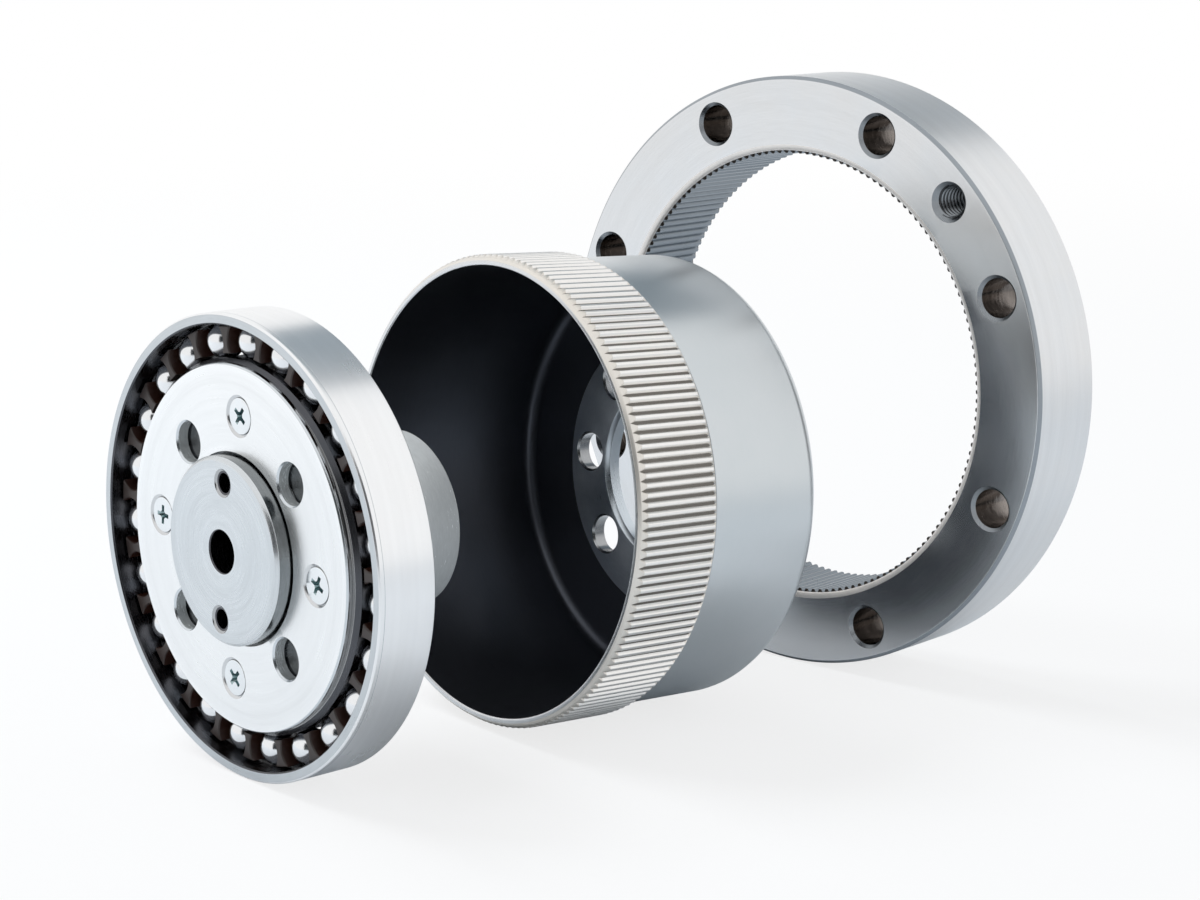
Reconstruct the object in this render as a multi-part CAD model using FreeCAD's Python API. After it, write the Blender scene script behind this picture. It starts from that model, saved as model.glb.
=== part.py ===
import FreeCAD, Part
import math
import os
from FreeCAD import Placement, Rotation, Vector

# Strain wave gear as a set of three groups, each standing on its own rim.
# Millimetres. Every group is modelled about its own axis, which runs along +Y
# from its front (toward -Y) to its back, with +Z up. Then it is set in place.
# The origin is the centre of the circular spline's front face.

# Teeth
module = 0.508
flex_teeth = 160
tooth_difference = 2
addendum_factor = 0.4375
dedendum_factor = 0.5625
pressure_angle = 30.0

# Circular spline: its wall is measured from the tooth roots to the outside
ring_wall = 13.566
ring_width = 17.0
ring_rim_chamfer = 0.6
ring_bore_chamfer = 0.6
ring_hole_margin = 6.0
ring_hole_count = 8
ring_hole_radius = 3.5
ring_hole_start = 22.5
hole_chamfer = 0.3
jack_hole_count = 2
jack_hole_radius = 2.5
jack_hole_start = 45.0
jack_hole_chamfer = 1.15

# Flexspline: the rim's wall is measured from the tooth roots to the bore
cup_rim_wall = 1.354
cup_lip_length = 0.5
cup_lip_drop = 0.15
cup_edge_chamfer = 0.2
tooth_chamfer_length = 0.8
tooth_end = 16.2
barrel_step_length = 1.1
barrel_wall = 0.66
diaphragm_front = 40.2
diaphragm_thickness = 0.9
corner_radius = 2.2
boss_setback = 13.3
boss_front_lift = 0.4
boss_rear_lift = 1.6
boss_hole_margin = 5.1
boss_hole_count = 8
boss_hole_radius = 3.4
boss_bore_margin = 5.2

# Wave generator bearing: walls under the grooves, and how deep the grooves are
bearing_fit = 0.05
bearing_width = 10.8
outer_ring_wall = 1.525
outer_groove_depth = 0.375
outer_ring_chamfer = 0.3
ball_radius = 3.175
ball_count = 23
ball_start = 46.5
race_clearance = 0.05
inner_groove_depth = 0.475
inner_ring_wall = 2.375
inner_ring_width = 7.8
inner_ring_chamfer = 0.3
cage_outer_gap = 0.5
cage_inner_gap = 0.7
cage_front_reach = 3.3
cage_pocket_clearance = 0.725
cage_floor_clearance = 0.125
cage_web = 1.1

# Plug and front plate, sized inward from the inner ring's bore
plug_shoulder_height = 1.4
plug_shoulder_width = 1.0
plate_lip_height = 1.8
plate_lip_thickness = 0.95
plate_chamfer = 0.3
plate_spigot_margin = 2.6
plate_spigot_depth = 1.45
plate_hole_margin = 5.5
plate_hole_count = 4
plate_hole_start = 45.0
plate_hole_radius = 3.4
plate_bore_margin = 4.3
screw_margin = 3.8
screw_count = 4
screw_head_radius = 3.0
screw_head_height = 1.65
screw_shank_radius = 1.45
screw_length = 7.0
screw_sink = 0.2
screw_recess_reach = 1.6
screw_recess_width = 0.7
screw_recess_depth = 0.9

# Hub and coupling, sized inward from the plate's bore
fit_gap = 0.05
boss_clearance = 0.6
flange_overlap = 0.6
flange_clearance = 0.4
sleeve_clearance = 0.6
hub_boss_lift = 2.85
hub_boss_chamfer = 0.6
hub_undercut = 0.4
hub_undercut_width = 1.2
hub_flange_thickness = 1.5
hub_sleeve_step = 0.55
hub_sleeve_chamfer = 0.5
hub_length = 37.5
hub_front_wall = 12.3
hub_recess_wall = 7.55
hub_bore_radius = 3.5
hub_tapped_radius = 1.65
hub_tapped_margin = 4.1
hub_tapped_depth = 8.0
insert_thickness = 3.0
tongue_width = 7.0
slot_depth = 2.5
dog_length = 2.0
washer_thickness = 0.5

# How the groups stand
flexspline_place = (-12.2, -67.7)
flexspline_yaw = 7.7
flexspline_turn = -2.4
wave_generator_place = (-22.9, -114.9)
wave_generator_yaw = 5.8
wave_generator_turn = -4.7

# Sizes that follow: teeth and circular spline
ring_teeth = flex_teeth + tooth_difference
deflection = module * tooth_difference / 2.0
flex_pitch_radius = module * flex_teeth / 2.0
ring_pitch_radius = module * ring_teeth / 2.0
addendum = addendum_factor * module
dedendum = dedendum_factor * module
flex_tip_radius = flex_pitch_radius + addendum
flex_root_radius = flex_pitch_radius - dedendum
ring_tip_radius = ring_pitch_radius - addendum
ring_root_radius = ring_pitch_radius + dedendum
ring_outer_radius = ring_root_radius + ring_wall
ring_hole_circle = ring_outer_radius - ring_hole_margin
floor_height = -ring_outer_radius
beyond = 1.0

# Flexspline
cup_bore_radius = flex_root_radius - cup_rim_wall
barrel_radius = cup_bore_radius + barrel_wall
boss_radius = cup_bore_radius - boss_setback
boss_hole_circle = boss_radius - boss_hole_margin
boss_bore_radius = boss_hole_circle - boss_bore_margin

# Bearing
race_radius = ball_radius + race_clearance
outer_ring_radius = cup_bore_radius - bearing_fit
ball_circle = outer_ring_radius - outer_ring_wall - race_radius
outer_ring_land = ball_circle + race_radius - outer_groove_depth
inner_ring_land = ball_circle - race_radius + inner_groove_depth
inner_ring_bore = ball_circle - race_radius - inner_ring_wall
ball_plane = bearing_width / 2.0
inner_ring_front = ball_plane - inner_ring_width / 2.0
inner_ring_rear = ball_plane + inner_ring_width / 2.0
cage_outer_radius = outer_ring_land - cage_outer_gap
cage_inner_radius = inner_ring_land + cage_inner_gap
cage_pocket_radius = ball_radius + cage_pocket_clearance
cage_front = ball_plane - cage_front_reach
cage_floor = ball_plane + ball_radius + cage_floor_clearance
cage_rear = cage_floor + cage_web

# Plug and plate
plug_shoulder_radius = inner_ring_bore + plug_shoulder_height
plate_radius = inner_ring_bore + plate_lip_height
plate_spigot_radius = inner_ring_bore - plate_spigot_margin
plate_hole_circle = plate_spigot_radius - plate_hole_margin
plate_bore_radius = plate_hole_circle - plate_bore_margin
screw_circle = plate_spigot_radius - screw_margin
plate_front = inner_ring_front - plate_lip_thickness
plate_rear = inner_ring_front + plate_spigot_depth

# Hub and coupling
hub_boss_radius = plate_bore_radius - boss_clearance
hub_flange_radius = plate_bore_radius + flange_overlap
hub_sleeve_radius = hub_boss_radius - hub_sleeve_step
hub_recess_radius = hub_sleeve_radius - hub_recess_wall
hub_tapped_circle = hub_boss_radius - hub_tapped_margin
hub_boss_front = plate_front - hub_boss_lift
hub_sleeve_end = hub_boss_front + hub_length
hub_recess_start = hub_boss_front + hub_front_wall
flange_front = plate_rear + fit_gap
flange_rear = flange_front + hub_flange_thickness
insert_front = flange_rear + 1.5 * fit_gap
insert_rear = insert_front + insert_thickness
washer_front = insert_rear + fit_gap / 2.0
pocket_floor = washer_front + washer_thickness
pocket_radius = hub_flange_radius + flange_clearance
plug_bore_radius = hub_sleeve_radius + sleeve_clearance
insert_outer_radius = pocket_radius - flange_clearance
washer_outer_radius = pocket_radius - fit_gap
slot_width = tongue_width + 2 * fit_gap
slot_reach = pocket_radius + slot_depth
tongue_reach = slot_reach - flange_clearance


def turned(points):
    """Solid of revolution about the axis from (radius, station) points."""
    corners = [Vector(radius, station, 0) for radius, station in points]
    outline = Part.makePolygon(corners + corners[:1])
    return Part.Face(outline).revolve(Vector(0, 0, 0), Vector(0, 1, 0), 360)


def bar(radius, start, end, at=(0.0, 0.0)):
    """Cylinder along the axis from one station to another, at polar (circle, angle)."""
    circle, angle = at
    turn = math.radians(angle)
    base = Vector(circle * math.cos(turn), start, circle * math.sin(turn))
    return Part.makeCylinder(radius, end - start, base, Vector(0, 1, 0))


def flare(small, large, start, end, at=(0.0, 0.0)):
    """Cone along the axis, of radius small at start and large at end."""
    circle, angle = at
    turn = math.radians(angle)
    base = Vector(circle * math.cos(turn), start, circle * math.sin(turn))
    return Part.makeCone(small, large, end - start, base, Vector(0, 1, 0))


def oval_edge(mean_radius, station):
    """The wave generator's oval of one mean radius, long along X."""
    centre = Vector(0, station, 0)
    long_point = Vector(mean_radius + deflection, station, 0)
    short_point = Vector(0, station, mean_radius - deflection)
    return Part.Ellipse(long_point, short_point, centre).toShape()


def oval(mean_radius, start, end):
    """Oval cylinder from one station to another."""
    face = Part.Face(Part.Wire([oval_edge(mean_radius, start)]))
    return face.extrude(Vector(0, end - start, 0))


def oval_stack(sections):
    """Oval solid through (mean radius, station) sections with straight sides between."""
    wires = [Part.Wire([oval_edge(mean_radius, station)]) for mean_radius, station in sections]
    return Part.makeLoft(wires, True, True)


def oval_radius(mean_radius, angle):
    """Distance of the oval from its centre in one direction."""
    turn = math.radians(angle)
    long_half = mean_radius + deflection
    short_half = mean_radius - deflection
    return long_half * short_half / math.hypot(short_half * math.cos(turn), long_half * math.sin(turn))


def holes(radius, start, end, circle, count, first, chamfer):
    """Tools for a circle of through-holes with both edges chamfered."""
    tools = []
    for index in range(count):
        at = (circle, first + index * 360.0 / count)
        tools.append(bar(radius, start - beyond, end + beyond, at))
        tools.append(flare(radius + chamfer, radius, start, start + chamfer, at))
        tools.append(flare(radius, radius + chamfer, end - chamfer, end, at))
    return tools


def tooth_gaps(count, pitch_radius, root_radius, open_radius, start, end):
    """Straight-sided gaps between teeth, open at open_radius and closed at the root."""
    slope = math.tan(math.radians(pressure_angle))
    half_at_pitch = math.pi * module / 4.0
    half_at_root = half_at_pitch - slope * abs(root_radius - pitch_radius)
    half_at_open = half_at_pitch + slope * abs(open_radius - pitch_radius)
    corners = [
        Vector(root_radius, start, -half_at_root),
        Vector(root_radius, start, half_at_root),
        Vector(open_radius, start, half_at_open),
        Vector(open_radius, start, -half_at_open),
    ]
    gap = Part.Face(Part.makePolygon(corners + corners[:1])).extrude(Vector(0, end - start, 0))
    gaps = []
    for index in range(count):
        turned_gap = gap.copy()
        turned_gap.rotate(Vector(0, 0, 0), Vector(0, -1, 0), (index + 0.5) * 360.0 / count)
        gaps.append(turned_gap)
    return gaps


def circular_spline():
    """Rigid ring, with its bore's edges and its tooth ends chamfered in one cut."""
    mouth_radius = ring_root_radius + ring_bore_chamfer
    bore_chamfer = mouth_radius - ring_tip_radius
    blank = turned([
        (mouth_radius, 0.0),
        (ring_outer_radius - ring_rim_chamfer, 0.0),
        (ring_outer_radius, ring_rim_chamfer),
        (ring_outer_radius, ring_width - ring_rim_chamfer),
        (ring_outer_radius - ring_rim_chamfer, ring_width),
        (mouth_radius, ring_width),
        (ring_tip_radius, ring_width - bore_chamfer),
        (ring_tip_radius, bore_chamfer),
    ])
    tools = holes(ring_hole_radius, 0.0, ring_width, ring_hole_circle, ring_hole_count,
                  ring_hole_start, hole_chamfer)
    tools += holes(jack_hole_radius, 0.0, ring_width, ring_hole_circle, jack_hole_count,
                   jack_hole_start, jack_hole_chamfer)
    open_radius = ring_tip_radius - addendum
    gaps = tooth_gaps(ring_teeth, ring_pitch_radius, ring_root_radius, open_radius,
                      -beyond, ring_width + beyond)
    return blank.cut(tools).cut(gaps)


def flexspline():
    """Thin cup: lip, tooth band, barrel, rounded corner, diaphragm and boss."""
    outer_corner = corner_radius + barrel_wall
    diaphragm_rear = diaphragm_front + diaphragm_thickness
    corner_centre_radius = cup_bore_radius - corner_radius
    boss_front = diaphragm_front - boss_front_lift
    boss_rear = diaphragm_rear + boss_rear_lift
    lip_radius = flex_root_radius - cup_lip_drop
    tooth_start = cup_lip_length + tooth_chamfer_length
    diagonal = math.sqrt(0.5)

    def point(radius, station):
        return Vector(radius, station, 0)

    outer_mid = point(corner_centre_radius + outer_corner * diagonal,
                      diaphragm_rear - outer_corner + outer_corner * diagonal)
    inner_mid = point(corner_centre_radius + corner_radius * diagonal,
                      diaphragm_front - corner_radius + corner_radius * diagonal)
    outer_side = [
        point(cup_bore_radius, cup_edge_chamfer),
        point(cup_bore_radius + cup_edge_chamfer, 0.0),
        point(lip_radius - cup_edge_chamfer, 0.0),
        point(lip_radius, cup_edge_chamfer),
        point(lip_radius, cup_lip_length),
        point(flex_tip_radius, tooth_start),
        point(flex_tip_radius, tooth_end),
        point(barrel_radius, tooth_end + barrel_step_length),
        point(barrel_radius, diaphragm_rear - outer_corner),
    ]
    back = [
        point(corner_centre_radius, diaphragm_rear),
        point(boss_radius, diaphragm_rear),
        point(boss_radius, boss_rear),
        point(boss_bore_radius, boss_rear),
        point(boss_bore_radius, boss_front),
        point(boss_radius, boss_front),
        point(boss_radius + boss_front_lift, diaphragm_front),
        point(corner_centre_radius, diaphragm_front),
    ]
    edges = [Part.makeLine(a, b) for a, b in zip(outer_side, outer_side[1:])]
    edges.append(Part.Arc(outer_side[-1], outer_mid, back[0]).toShape())
    edges += [Part.makeLine(a, b) for a, b in zip(back, back[1:])]
    bore_end = point(cup_bore_radius, diaphragm_front - corner_radius)
    edges.append(Part.Arc(back[-1], inner_mid, bore_end).toShape())
    edges.append(Part.makeLine(bore_end, outer_side[0]))
    blank = Part.Face(Part.Wire(edges)).revolve(Vector(0, 0, 0), Vector(0, 1, 0), 360)
    tools = holes(boss_hole_radius, boss_front, boss_rear, boss_hole_circle, boss_hole_count,
                  0.0, hole_chamfer)
    tools.append(flare(boss_bore_radius + hole_chamfer, boss_bore_radius,
                       boss_front, boss_front + hole_chamfer))
    tools.append(flare(boss_bore_radius, boss_bore_radius + hole_chamfer,
                       boss_rear - hole_chamfer, boss_rear))
    open_radius = flex_tip_radius + addendum
    gaps = tooth_gaps(flex_teeth, flex_pitch_radius, flex_root_radius, open_radius,
                      -beyond, tooth_end + barrel_step_length)
    return blank.cut(tools).cut(gaps)


def race():
    """Round groove that runs along the oval of the balls' centres."""
    path = Part.Wire([oval_edge(ball_circle, ball_plane)])
    start = Vector(ball_circle + deflection, ball_plane, 0)
    circle = Part.Circle(start, Vector(0, 0, 1), race_radius).toShape()
    return path.makePipe(Part.Face(Part.Wire([circle])))


def outer_ring():
    """Thin outer ring, bent to the plug's oval, with a ball groove inside."""
    edge = outer_ring_chamfer
    body = oval_stack([
        (outer_ring_radius - edge, 0.0),
        (outer_ring_radius, edge),
        (outer_ring_radius, bearing_width - edge),
        (outer_ring_radius - edge, bearing_width),
    ])
    body = body.cut(oval(outer_ring_land, -beyond, bearing_width + beyond))
    return body.cut(race())


def inner_ring():
    """Inner ring on the plug, with a ball groove outside."""
    edge = inner_ring_chamfer
    body = oval_stack([
        (inner_ring_land - edge, inner_ring_front),
        (inner_ring_land, inner_ring_front + edge),
        (inner_ring_land, inner_ring_rear - edge),
        (inner_ring_land - edge, inner_ring_rear),
    ])
    body = body.cut(oval(inner_ring_bore, inner_ring_front - beyond, inner_ring_rear + beyond))
    return body.cut(race())


def ball(index):
    angle = ball_start + index * 360.0 / ball_count
    reach = oval_radius(ball_circle, angle)
    turn = math.radians(angle)
    centre = Vector(reach * math.cos(turn), ball_plane, reach * math.sin(turn))
    return Part.makeSphere(ball_radius, centre)


def ball_cage():
    """Cage bent to the same oval, with a round pocket for each ball, open at the front."""
    body = oval(cage_outer_radius, cage_front, cage_rear)
    body = body.cut(oval(cage_inner_radius, cage_front - beyond, cage_rear + beyond))
    pockets = []
    for index in range(ball_count):
        angle = ball_start + index * 360.0 / ball_count
        at = (oval_radius(ball_circle, angle), angle)
        pockets.append(bar(cage_pocket_radius, cage_front - beyond, cage_floor, at))
    return body.cut(pockets)


def wave_plug():
    """Oval plug with a shoulder behind the inner ring and the coupling's pocket."""
    rear = inner_ring_rear + plug_shoulder_width
    body = oval(inner_ring_bore, inner_ring_front, inner_ring_rear)
    body = body.fuse(oval(plug_shoulder_radius, inner_ring_rear, rear))
    tools = [bar(plate_spigot_radius + fit_gap, inner_ring_front - beyond, plate_rear)]
    tools.append(bar(pocket_radius, plate_rear - beyond, pocket_floor))
    tools.append(bar(plug_bore_radius, pocket_floor - beyond, rear + beyond))
    slot = Part.makeBox(slot_width, pocket_floor - plate_rear + beyond, 2 * slot_reach,
                        Vector(-slot_width / 2.0, plate_rear - beyond, -slot_reach))
    tools.append(slot)
    for index in range(screw_count):
        at = (screw_circle, index * 360.0 / screw_count)
        end = plate_front + screw_sink + screw_length + fit_gap
        tools.append(bar(screw_shank_radius + fit_gap, plate_rear - beyond, end, at))
    return body.cut(tools)


def retaining_plate():
    """Front plate that holds the inner ring on the plug and the hub in its pocket."""
    body = turned([
        (plate_bore_radius, plate_front),
        (plate_radius - plate_chamfer, plate_front),
        (plate_radius, plate_front + plate_chamfer),
        (plate_radius, inner_ring_front),
        (plate_spigot_radius, inner_ring_front),
        (plate_spigot_radius, plate_rear),
        (plate_bore_radius, plate_rear),
    ])
    tools = holes(plate_hole_radius, plate_front, plate_rear, plate_hole_circle,
                  plate_hole_count, plate_hole_start, plate_chamfer)
    seat_front = plate_front + screw_sink
    for index in range(screw_count):
        at = (screw_circle, index * 360.0 / screw_count)
        tools.append(bar(screw_shank_radius + fit_gap, plate_front, plate_rear + beyond, at))
        tools.append(bar(screw_head_radius + fit_gap, plate_front - beyond, seat_front, at))
        tools.append(flare(screw_head_radius + fit_gap, screw_shank_radius + fit_gap,
                           seat_front, seat_front + screw_head_height, at))
    return body.cut(tools)


def plate_screws():
    """Countersunk screws with cross recesses, a little below the plate's face."""
    front = plate_front + screw_sink
    screws = []
    for index in range(screw_count):
        angle = index * 360.0 / screw_count
        at = (screw_circle, angle)
        body = flare(screw_head_radius, screw_shank_radius, front, front + screw_head_height, at)
        body = body.fuse(bar(screw_shank_radius, front + screw_head_height, front + screw_length, at))
        turn = math.radians(angle)
        centre = Vector(screw_circle * math.cos(turn), front - beyond, screw_circle * math.sin(turn))
        for size in ((screw_recess_reach, screw_recess_width), (screw_recess_width, screw_recess_reach)):
            corner = centre - Vector(size[0] / 2.0, 0, size[1] / 2.0)
            body = body.cut(Part.makeBox(size[0], beyond + screw_recess_depth, size[1], corner))
        screws.append(body)
    return Part.makeCompound(screws)


def coupling_insert():
    """Ring with tongues up and down for the plug and notches left and right for the hub."""
    body = bar(insert_outer_radius, insert_front, insert_rear)
    tongue = Part.makeBox(tongue_width, insert_thickness, 2 * tongue_reach,
                          Vector(-tongue_width / 2.0, insert_front, -tongue_reach))
    notch = Part.makeBox(2 * pocket_radius, dog_length + fit_gap, slot_width,
                         Vector(-pocket_radius, insert_front, -slot_width / 2.0))
    bore = bar(plug_bore_radius, insert_front - beyond, insert_rear + beyond)
    return body.fuse(tongue).cut([bore, notch])


def rub_washer():
    body = bar(washer_outer_radius, washer_front, pocket_floor)
    return body.cut(bar(plug_bore_radius, washer_front - beyond, pocket_floor + beyond))


def input_hub():
    """Boss, flange with two dogs, and a hollow sleeve, turned from one piece."""
    undercut_front = flange_front - hub_undercut_width
    body = turned([
        (hub_bore_radius, hub_boss_front),
        (hub_boss_radius - hub_boss_chamfer, hub_boss_front),
        (hub_boss_radius, hub_boss_front + hub_boss_chamfer),
        (hub_boss_radius, undercut_front),
        (hub_boss_radius - hub_undercut, undercut_front + hub_undercut),
        (hub_boss_radius - hub_undercut, flange_front),
        (hub_flange_radius, flange_front),
        (hub_flange_radius, flange_rear),
        (hub_sleeve_radius, flange_rear),
        (hub_sleeve_radius, hub_sleeve_end - hub_sleeve_chamfer),
        (hub_sleeve_radius - hub_sleeve_chamfer, hub_sleeve_end),
        (hub_recess_radius, hub_sleeve_end),
        (hub_recess_radius, hub_recess_start),
        (hub_bore_radius, hub_recess_start),
    ])
    dog = Part.makeBox(2 * hub_flange_radius, insert_front + dog_length - flange_rear, tongue_width,
                       Vector(-hub_flange_radius, flange_rear, -tongue_width / 2.0))
    dog = dog.common(bar(hub_flange_radius, flange_rear, insert_front + dog_length))
    dog = dog.cut(bar(hub_bore_radius + beyond, flange_rear - beyond, pocket_floor))
    tools = [flare(hub_bore_radius + hole_chamfer, hub_bore_radius,
                   hub_boss_front, hub_boss_front + hole_chamfer)]
    for angle in (90.0, 270.0):
        at = (hub_tapped_circle, angle)
        tools.append(bar(hub_tapped_radius, hub_boss_front - beyond,
                         hub_boss_front + hub_tapped_depth, at))
        tools.append(flare(hub_tapped_radius + 2 * hole_chamfer, hub_tapped_radius,
                           hub_boss_front, hub_boss_front + 2 * hole_chamfer, at))
    return body.fuse(dog).cut(tools)


def standing(place, height, yaw, tilt, turn):
    """Placement of a group: turned about its own axis, tilted back, yawed and set down."""
    spin = Rotation(Vector(0, -1, 0), turn)
    lean = Rotation(Vector(1, 0, 0), -tilt)
    heading = Rotation(Vector(0, 0, 1), -yaw)
    position = Vector(place[0], place[1], floor_height + height)
    return Placement(position, heading.multiply(lean).multiply(spin))


def save(name, shape, placement):
    """Set a piece in place and write it."""
    shape.Placement = placement.multiply(shape.Placement)
    shape.exportStep(os.path.join("parts", name + ".step"))
    triangles = len(shape.tessellate(0.1)[1])
    print(name, "valid", shape.isValid(), "solids", len(shape.Solids),
          "volume", round(shape.Volume, 2), "triangles", triangles)
    return triangles


# The cup leans back on the end of its tooth band and the end of its barrel.
barrel_end = diaphragm_front + diaphragm_thickness - corner_radius - barrel_wall
cup_tilt = math.atan2(flex_tip_radius - barrel_radius, barrel_end - tooth_end)
cup_height = flex_tip_radius * math.cos(cup_tilt) + tooth_end * math.sin(cup_tilt)
cup_placement = standing(flexspline_place, cup_height, flexspline_yaw,
                         math.degrees(cup_tilt), flexspline_turn)

# The wave generator stands on its outer ring, close to the oval's short axis.
turn = math.radians(wave_generator_turn)
wave_height = math.hypot((outer_ring_radius - deflection) * math.cos(turn),
                         (outer_ring_radius + deflection) * math.sin(turn))
wave_placement = standing(wave_generator_place, wave_height, wave_generator_yaw,
                          0.0, wave_generator_turn)

os.makedirs("parts", exist_ok=True)
pieces = [
    ("circular_spline", circular_spline(), Placement()),
    ("flexspline", flexspline(), cup_placement),
    ("bearing_outer_ring", outer_ring(), wave_placement),
    ("bearing_inner_ring", inner_ring(), wave_placement),
    ("ball_cage", ball_cage(), wave_placement),
    ("wave_plug", wave_plug(), wave_placement),
    ("retaining_plate", retaining_plate(), wave_placement),
    ("plate_screws", plate_screws(), wave_placement),
    ("coupling_insert", coupling_insert(), wave_placement),
    ("rub_washer", rub_washer(), wave_placement),
    ("input_hub", input_hub(), wave_placement),
]
for number in range(ball_count):
    pieces.append(("ball_%02d" % (number + 1), ball(number), wave_placement))
total = 0
for name, shape, placement in pieces:
    total += save(name, shape, placement)
print("triangles in all", total)
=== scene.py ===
import bpy
import bmesh
import math
from mathutils import Matrix, Vector


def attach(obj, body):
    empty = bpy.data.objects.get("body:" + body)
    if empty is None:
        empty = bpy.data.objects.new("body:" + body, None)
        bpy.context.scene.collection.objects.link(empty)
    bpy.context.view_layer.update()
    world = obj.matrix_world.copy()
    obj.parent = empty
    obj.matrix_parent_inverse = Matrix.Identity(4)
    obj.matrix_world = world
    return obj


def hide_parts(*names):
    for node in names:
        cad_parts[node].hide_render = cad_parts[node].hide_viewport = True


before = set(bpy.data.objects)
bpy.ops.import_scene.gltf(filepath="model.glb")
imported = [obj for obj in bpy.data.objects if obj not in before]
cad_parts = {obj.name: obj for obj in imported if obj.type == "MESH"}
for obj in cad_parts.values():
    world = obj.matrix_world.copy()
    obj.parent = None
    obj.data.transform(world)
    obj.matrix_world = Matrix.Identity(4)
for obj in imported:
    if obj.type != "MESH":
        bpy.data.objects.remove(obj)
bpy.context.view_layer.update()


# Circular spline: a thick ring of hardened steel, turned all over, with 162 fine teeth along its bore.
# Eight plain bolt holes and two tapped jacking holes are drilled through it from face to face.
# The sizes of all pieces are in millimetres about their group's own axis, which runs along Y.
ring_place = Matrix.Identity(4)
module = 0.508
flank_angle = math.radians(30.0)
ring_tooth_count = 162
ring_root = 41.434
ring_pitch = 41.148
ring_tip = 40.926
ring_outside = 55.0
ring_width = 17.0
ring_bevel = 0.6
ring_tooth_slope = 0.3
ring_front_knee = 0.3
ring_front_edge = 1.1
ring_hole_circle = 49.0
bolt_hole_radius = 3.5
bolt_hole_count = 8
bolt_hole_start = 22.5
jack_thread_inside = 2.5
jack_thread_outside = 3.0
jack_thread_pitch = 1.0
jack_hole_bevel = 0.65
jack_hole_count = 2
jack_hole_start = 45.0


def added(name, data):
    """Object of some data, put in the scene."""
    thing = bpy.data.objects.new(name, data)
    bpy.context.scene.collection.objects.link(thing)
    return thing


def softened(outline, size=0.12):
    """Outline of (radius, station, finish) corners with each sharp corner rounded a little."""
    nearly_straight = math.radians(155)
    longest_share = 0.4
    result = []
    for index, corner in enumerate(outline):
        here = Vector(corner[:2])
        before = outline[index - 1]
        after = outline[(index + 1) % len(outline)]
        back = Vector(before[:2]) - here
        ahead = Vector(after[:2]) - here
        on_the_axis = corner[0] < 0.001
        if on_the_axis or back.angle(ahead) > nearly_straight:
            result.append(corner)
            continue
        start = here + back.normalized() * min(size, back.length * longest_share)
        end = here + ahead.normalized() * min(size, ahead.length * longest_share)
        middle = start * 0.25 + here * 0.5 + end * 0.25
        result.append((start[0], start[1], before[2]))
        result.append((middle[0], middle[1], corner[2]))
        result.append((end[0], end[1], corner[2]))
    return result


def piece_from(name, corners, faces, finishes, indexes=None, merged=True):
    """Object of a mesh with its faces outwards; indexes gives each face's place in the finishes."""
    mesh = bpy.data.meshes.new(name)
    mesh.from_pydata(corners, [], faces)
    for finish in finishes:
        mesh.materials.append(finish)
    if indexes:
        mesh.polygons.foreach_set("material_index", indexes)
    shape = bmesh.new()
    shape.from_mesh(mesh)
    if merged:
        bmesh.ops.remove_doubles(shape, verts=shape.verts, dist=0.0005)
    bmesh.ops.recalc_face_normals(shape, faces=shape.faces)
    shape.to_mesh(mesh)
    shape.free()
    return added(name, mesh)


def turned(name, outline, finishes, steps=360, oval=0.0):
    """Closed outline of (radius, station, finish) turned about the axis, or round an oval."""
    corners = []
    for step in range(steps):
        turn = 2.0 * math.pi * step / steps
        for radius, station, finish in outline:
            corners.append(((radius + oval) * math.cos(turn), station, (radius - oval) * math.sin(turn)))
    faces = []
    indexes = []
    count = len(outline)
    for step in range(steps):
        here = step * count
        there = (step + 1) % steps * count
        for index in range(count):
            after = (index + 1) % count
            faces.append((here + index, here + after, there + after, there + index))
            indexes.append(outline[index][2])
    return piece_from(name, corners, faces, finishes, indexes)


def moved_along(piece, distance):
    """Move a piece's mesh along the group's axis."""
    piece.data.transform(Matrix.Translation((0.0, distance, 0.0)))
    return piece


def baked(piece):
    """Turn a piece and its modifiers into one plain mesh."""
    graph = bpy.context.evaluated_depsgraph_get()
    mesh = bpy.data.meshes.new_from_object(piece.evaluated_get(graph))
    piece.modifiers.clear()
    piece.data = mesh
    return piece


def cut(piece, tool):
    """Take one piece out of another; the cut faces keep the tool's finish."""
    modifier = piece.modifiers.new("Cut", "BOOLEAN")
    modifier.operation = "DIFFERENCE"
    modifier.solver = "EXACT"
    modifier.material_mode = "TRANSFER"
    modifier.object = tool
    baked(piece)
    bpy.data.objects.remove(tool)
    return piece


def node(tree, kind, inputs=None, **settings):
    """New node of a tree, whose inputs are given as plain values or as sockets to link."""
    made = tree.nodes.new(kind)
    for name, setting in settings.items():
        setattr(made, name, setting)
    for name, given in (inputs or {}).items():
        if isinstance(given, bpy.types.NodeSocket):
            tree.links.new(given, made.inputs[name])
        else:
            made.inputs[name].default_value = given
    return made


def worked_out(tree, operation, *terms):
    """Result of a Math node over terms that are numbers or sockets."""
    return node(tree, "ShaderNodeMath", dict(enumerate(terms)), operation=operation).outputs[0]


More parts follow.
